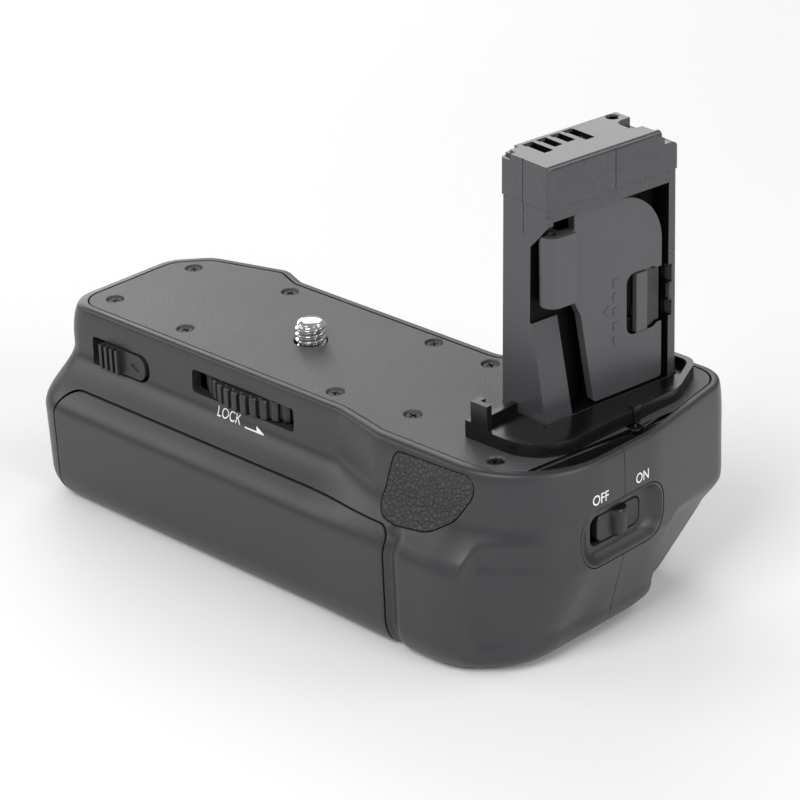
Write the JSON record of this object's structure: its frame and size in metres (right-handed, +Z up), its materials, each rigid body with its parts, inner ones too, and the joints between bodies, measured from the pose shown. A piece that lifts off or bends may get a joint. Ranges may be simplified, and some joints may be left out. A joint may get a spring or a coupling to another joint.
{
  "type": "camera battery grip",
  "caption": "Grip that screws under a camera: its stalk fills the camera's battery compartment, its tray holds two packs, and it repeats the shutter button.",
  "frame": {"origin": "axis of the fixing screw at the top mating face", "axes": "+X along the grip towards the ON and OFF switch, +Y towards the fingers, +Z up through the camera"},
  "size_m": [0.1386, 0.0717, 0.0949],
  "materials": {
    "housing": "moulded, fine grain",
    "plate": "moulded, coarser matt grain",
    "pad": "leather grain",
    "stalk": "fine matt",
    "trim": "satin black",
    "knob": "ribbed, satin",
    "bright": "bright plated",
    "steel": "plated",
    "dark_steel": "black oxide",
    "contact": "gold plated",
    "brass": "turned",
    "inner": "moulded, inside",
    "board": "laminate"
  },
  "bodies": {
    "housing": {"rear_shell": "housing", "front_shell": "housing", "top_plate": "plate", "top_screws": "dark_steel", "base_screws": "dark_steel", "deck": "inner", "tray_cage": "inner", "cage_contacts": "contact", "wheel_bush": "brass", "tripod_bush": "brass", "tray_latch_spring": "steel", "switch_bezel": "housing", "switch_body": "steel", "circuit_board": "board", "button_collar": "housing", "button_cup": "inner", "push_switch": "trim", "button_spring": "steel", "stalk_base": "plate", "stalk_body": "stalk", "stalk_cap": "stalk", "stalk_contacts": "contact", "thumb_pad": "pad", "front_grip": "pad"},
    "wheel": {"lock_wheel": "knob", "camera_screw": "bright", "wheel_clip": "steel"},
    "tray": {"tray_panel": "housing", "battery_tray": "inner", "tray_contacts": "contact"},
    "latch": {"tray_latch": "knob"},
    "switch_knob": {"switch_slider": "trim"},
    "button": {"shutter_button": "trim"},
    "door": {"stored_door": "stalk", "door_latch_spring": "steel"},
    "door_slider": {"door_latch": "knob"}
  },
  "joints": [
    {"name": "wheel_turn", "type": "hinge", "parent": "housing", "child": "wheel", "pos_m": [0, 0, -0.0064], "axis": [0, 0, 1], "continuous": true},
    {"name": "tray_slide", "type": "slide", "parent": "housing", "child": "tray", "axis": [0, -1, 0], "range_m": [0, 0.05]},
    {"name": "tray_latch_slide", "type": "slide", "parent": "housing", "child": "latch", "axis": [-1, 0, 0], "range_m": [0, 0.0032], "stiffness_N_per_m": 300},
    {"name": "power_switch_slide", "type": "slide", "parent": "housing", "child": "switch_knob", "axis": [0, -1, 0], "range_m": [0, 0.0018]},
    {"name": "shutter_press", "type": "slide", "parent": "housing", "child": "button", "axis": [0, -0.7142, 0.6999], "range_m": [0, 0.001], "stiffness_N_per_m": 800},
    {"name": "door_lift_out", "type": "slide", "parent": "housing", "child": "door", "axis": [0.9928, -0.1196, 0], "range_m": [0, 0.005]},
    {"name": "door_latch_slide", "type": "slide", "parent": "door", "child": "door_slider", "axis": [-0.1196, -0.9928, 0], "range_m": [0, 0.0013], "stiffness_N_per_m": 200}
  ]
}
